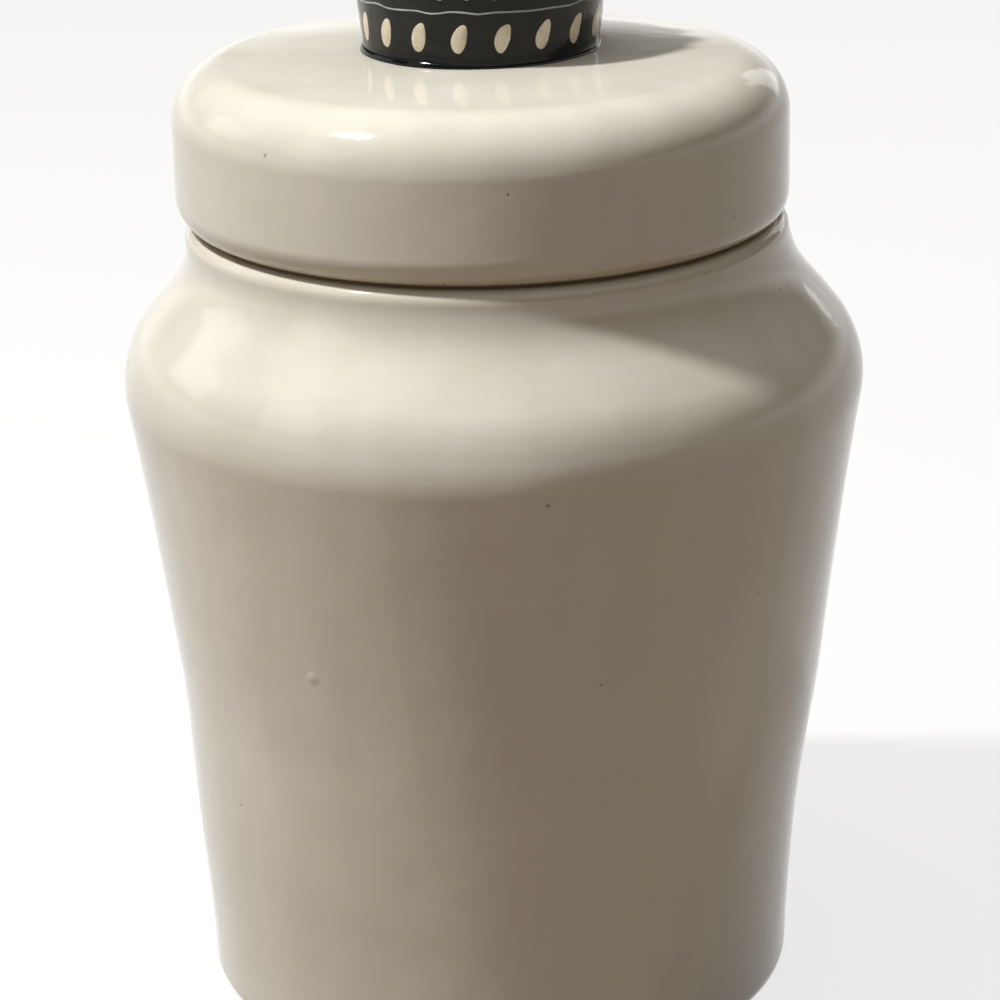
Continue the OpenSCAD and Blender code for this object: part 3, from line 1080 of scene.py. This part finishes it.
def lay_on_wall(marks, given, shake_size, rise):
    """Marks, shaken a little, and laid where a level ray from each point to the axis meets the wall."""
    shaken = move(marks, Offset=shaky(given["Shake"], shake_size, given["Seed"]))
    wall = put(marks, "GeometryNodeObjectInfo", {"Object": given["Wall"]}).outputs["Geometry"]
    inwards = vec("NORMALIZE", vec("MULTIPLY", here(marks), (-1, -1, 0)))
    ray = put(marks, "GeometryNodeRaycast", {"Target Geometry": wall, "Ray Direction": inwards,
        "Source Position": here(marks), "Ray Length": 0.1}).outputs
    return move(shaken, Position=vec("MULTIPLY_ADD", ray["Hit Normal"], rise, ray["Hit Position"]))


def rotation(x, z):
    return join("FunctionNodeEulerToRotation", (xyz(x, 0.0, z),))[0]


print("mark helpers ready")

# %% Geometry Nodes: a ring of dabs
DAB_SHAKE_SIZE = 3 * MM


def make_dabs():
    tree, given, result = new_tree("ring of dabs", "Geometry",
        {"Wall": "Object", "Count": "Int", "Height": "Float", "Reach": "Float", "Width": "Float",
         "Length": "Float", "Taper": "Float", "Slant": "Float", "Lift": "Float", "Jitter": "Float",
         "Shake": "Float", "Seed": "Int", "Slip": "Material"}, {"Marks": "Geometry"})
    index = geo(tree, "InputIndex")
    angle = times(index, calc("DIVIDE", math.tau, given["Count"]))
    around = xyz(calc("COSINE", angle), calc("SINE", angle))
    spot = vec("MULTIPLY_ADD", around, given["Reach"], xyz(z=given["Height"]))
    points = geo(tree, "Points", {"Count": given["Count"], "Position": spot})
    ball = geo(tree, "MeshUVSphere", {"Segments": 20, "Rings": 9, "Radius": 1.0})
    own = split(here(tree))
    raised = store(ball, "lift", times(own[2], given["Lift"]))
    narrow = calc("MULTIPLY_ADD", times(own[1], given["Taper"]), -1.0, 1.0)
    wide = times(times(own[0], narrow), calc("DIVIDE", given["Width"], 2))
    long = times(own[1], calc("DIVIDE", given["Length"], 2))
    mark = move(raised, Position=xyz(wide, long))
    chance = put(tree, "FunctionNodeRandomValue",
        {2: -1.0, 3: 1.0, "ID": index, "Seed": given["Seed"]}).outputs[1]
    scale = calc("MULTIPLY_ADD", chance, given["Jitter"], 1.0)
    lean = calc("MULTIPLY_ADD", chance, given["Jitter"], given["Slant"])
    upright = rotation(math.pi / 2, calc("ADD", angle, math.pi / 2))
    leaning = join("FunctionNodeRotateRotation", (upright, rotation(0.0, lean)), rotation_space="LOCAL")[0]
    ring = geo(tree, "InstanceOnPoints",
        {"Points": points, "Instance": mark, "Rotation": leaning, "Scale": scale})
    laid = lay_on_wall(realize(ring), given, DAB_SHAKE_SIZE, read(tree, "lift"))
    deliver(laid, given["Slip"], result["Marks"])
    return tree


DABS = make_dabs()
print("made tree:", DABS.name, len(DABS.nodes), "nodes")

# %% Geometry Nodes: a painted line
LINE_SHAKE_SIZE = 9 * MM
LINE_RISE = -0.25


def make_line():
    tree, given, result = new_tree("painted line", "Geometry",
        {"Wall": "Object", "Height": "Float", "Reach": "Float", "Thickness": "Float", "Shake": "Float",
         "Seed": "Int", "Slip": "Material"}, {"Marks": "Geometry"})
    circle = geo(tree, "CurvePrimitiveCircle", {"Resolution": 300, "Radius": given["Reach"]})
    raised = geo(tree, "Transform", {"Geometry": circle, "Translation": xyz(z=given["Height"])})
    laid = lay_on_wall(raised, given, LINE_SHAKE_SIZE, times(given["Thickness"], LINE_RISE))
    radius = calc("DIVIDE", given["Thickness"], 2)
    brush = geo(tree, "CurvePrimitiveCircle", {"Resolution": 8, "Radius": radius})
    tube = geo(tree, "CurveToMesh", {"Curve": laid, "Profile Curve": brush})
    deliver(tube, given["Slip"], result["Marks"])
    return tree


LINE = make_line()
print("made tree:", LINE.name, len(LINE.nodes), "nodes")

# %% Marks on the knob
MARK_REACH = 45 * MM
LINE_THICK = 0.55 * MM
LINE_SHAKE = 1.6 * MM


def paint(marks):
    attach(marks, "lid")
    tell(marks)


def paint_dabs(name, slip, count, height, width, length, **more):
    paint(grow(name, DABS, {"Wall": knob, "Count": count, "Height": SEAT_Z + height, "Reach": MARK_REACH,
        "Width": width * MARK_REACH / BELLY_R, "Length": length, "Taper": 0.0, "Slant": 0.0,
        "Lift": 0.22 * MM, "Jitter": 0.06, "Shake": 0.5 * MM, "Slip": slip, **more}))


def paint_line(name, slip, height, seed):
    paint(grow(name, LINE, {"Wall": knob, "Height": SEAT_Z + height, "Reach": MARK_REACH,
        "Thickness": LINE_THICK, "Shake": LINE_SHAKE, "Seed": seed, "Slip": slip}))


paint_dabs("slanted_dabs", CREAM_SLIP, 18, 7.2 * MM, 3.6 * MM, 8.2 * MM, Slant=-0.6, Taper=0.25, Seed=4)
paint_line("lower_line", PALE_SLIP, 13.2 * MM, seed=2)
paint_dabs("dot_row", PALE_SLIP, 30, 17.2 * MM, 2.0 * MM, 2.0 * MM, Seed=9)
paint_line("upper_line", PALE_SLIP, 21.0 * MM, seed=6)
paint_dabs("point_strokes", CREAM_SLIP, POINT_COUNT, 33.5 * MM, 3.4 * MM, 9.5 * MM, Taper=0.45, Seed=12)

# %% [markdown]
# **Floor and light.** A plain pale floor, one small main lamp high on the left, two soft boxes lower on
# that side and a weak one behind on the right. The room is dim and lighter overhead, and near the floor it
# has a white backdrop that only eye and mirrors see. Glaze shows what stands round it, so the surrounding
# does as much for the look as the lamps do.

# %% Floor
FLOOR_HALF = 6
FLOOR_SEEN = (0.90, 0.90, 0.90)
FLOOR_BOUNCE = (0.235, 0.165, 0.102)
FLOOR_GLOW = 0.75


def seen_directly(tree):
    """1 for rays from the eye, from mirrors and through glass, 0 for rays that only carry light."""
    path = put(tree, "ShaderNodeLightPath").outputs
    seen = calc("MAXIMUM", path["Is Camera Ray"], path["Is Glossy Ray"])
    return calc("MAXIMUM", seen, path["Is Transmission Ray"])


def make_floor():
    mesh = bpy.data.meshes.new("floor")
    corners = [(x * FLOOR_HALF, y * FLOOR_HALF, 0) for x, y in ((-1, -1), (1, -1), (1, 1), (-1, 1))]
    mesh.from_pydata(corners, [], [(0, 1, 2, 3)])
    material, tree, _ = new_material("floor_paper")
    tree.nodes.clear()
    white = put(tree, "ShaderNodeEmission", {"Color": (1, 1, 1, 1), "Strength": 1.0}).outputs[0]
    seen = seen_directly(tree)
    matte = put(tree, "ShaderNodeBsdfDiffuse", {"Color": blend(seen, FLOOR_BOUNCE, FLOOR_SEEN)}).outputs[0]
    glow = times(seen, FLOOR_GLOW)
    mix = put(tree, "ShaderNodeMixShader", {0: glow, 1: matte, 2: white}).outputs[0]
    put(tree, "ShaderNodeOutputMaterial", {0: mix})
    mesh.materials.append(material)
    new_object("floor", mesh)


make_floor()
print("floor half width", FLOOR_HALF, "m")

# %% Lamps
LIT_PLACE = Vector((0, 0, 0.19))
WARM_WHITE = (1.0, 0.98, 0.95)


def way_to(azimuth, elevation):
    """The direction from the object to a lamp. Azimuth 0 is the camera's side, and -90 is the left."""
    a, e = math.radians(azimuth), math.radians(elevation)
    return Vector((math.sin(a) * math.cos(e), -math.cos(a) * math.cos(e), math.sin(e)))


def add_lamp(name, way, power, size, distance=1.3, shape="RECTANGLE", colour=WARM_WHITE):
    lamp = bpy.data.lights.new(name, "AREA")
    lamp.shape, lamp.energy, lamp.color = shape, power, colour
    lamp.size, lamp.size_y = size
    piece = new_object(name, lamp)
    turn = (-way).to_track_quat("-Z", "Y").to_matrix().to_4x4()
    piece.matrix_world = Matrix.Translation(LIT_PLACE + distance * way) @ turn
    piece.visible_camera = False


add_lamp("main_lamp", way_to(-74.6, 58.1), power=26, size=(0.12, 0.12), distance=1.6, shape="DISK",
    colour=(1.0, 1.0, 0.985))
add_lamp("left_front_box", way_to(-65, 25), power=0.8, size=(0.5, 0.55))
add_lamp("left_back_box", way_to(-112, 20), power=0.7, size=(0.5, 0.4))
add_lamp("right_back_box", way_to(150, 14), power=0.5, size=(0.3, 0.5))

# %% Surrounding
BACKDROP_LOW = 0.02
BACKDROP_HIGH = 0.24
OVERHEAD_LOW = 0.45
OVERHEAD_HIGH = 1.0
DIM = 0.06
OVERHEAD_LIGHT = 0.8
ROOM_TINT = (1.0, 0.96, 0.90)
BACKDROP_TINT = (1.0, 1.0, 1.0)


def make_surrounding():
    world = bpy.data.worlds.new("surrounding")
    world.use_nodes = True
    tree = world.node_tree
    rise = split(put(tree, "ShaderNodeTexCoord").outputs["Generated"])[2]
    room = ramp(rise, OVERHEAD_LOW, OVERHEAD_HIGH, DIM, DIM + OVERHEAD_LIGHT)
    backdrop = ramp(rise, BACKDROP_LOW, BACKDROP_HIGH, first=1.0, last=0.0)
    shown = times(backdrop, seen_directly(tree))
    back = tree.nodes["Background"].inputs
    link(blend(shown, ROOM_TINT, BACKDROP_TINT), back["Color"])
    link(calc("MAXIMUM", room, shown), back["Strength"])
    scene.world = world


make_surrounding()
scene.view_settings.view_transform = "Standard"
print("surrounding:", scene.world.name)
